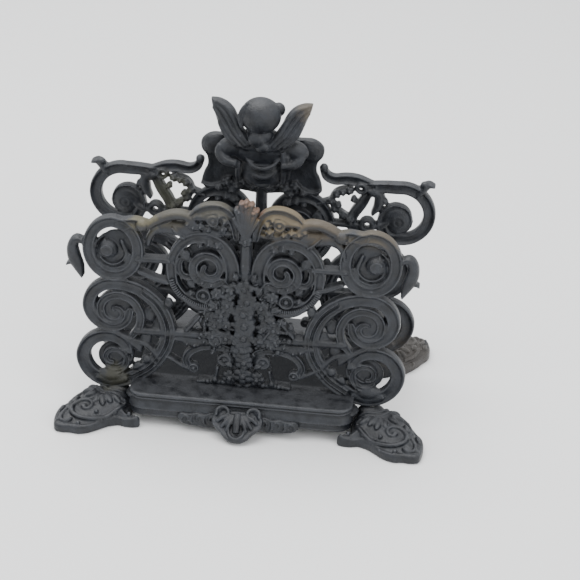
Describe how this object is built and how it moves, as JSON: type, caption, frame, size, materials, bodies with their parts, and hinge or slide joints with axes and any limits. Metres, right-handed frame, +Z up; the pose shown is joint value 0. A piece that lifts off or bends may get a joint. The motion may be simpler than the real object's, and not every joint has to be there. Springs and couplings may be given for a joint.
{
  "type": "napkin dispenser",
  "caption": "Upright cast-iron napkin rack: two openwork scroll panels on a low plinth with splayed leaf feet and a winged figure on the back crest.",
  "frame": {"origin": "on the table, under the middle of the rack", "axes": "+X along the panels to the right, -Y out of the front panel, +Z up"},
  "size_m": [0.189, 0.12, 0.1588],
  "materials": {
    "black_iron": "old black-painted casting, worn and rusty at the top edges",
    "screw_steel": "dull oiled steel"
  },
  "bodies": {
    "root": {"base_plate": "black_iron", "front_left_foot": "black_iron", "front_right_foot": "black_iron", "back_left_foot": "black_iron", "back_right_foot": "black_iron", "front_panel": "black_iron", "back_panel": "black_iron", "winged_figure": "black_iron", "panel_screws": "screw_steel", "foot_screws": "screw_steel", "figure_screws": "screw_steel"}
  },
  "joints": []
}
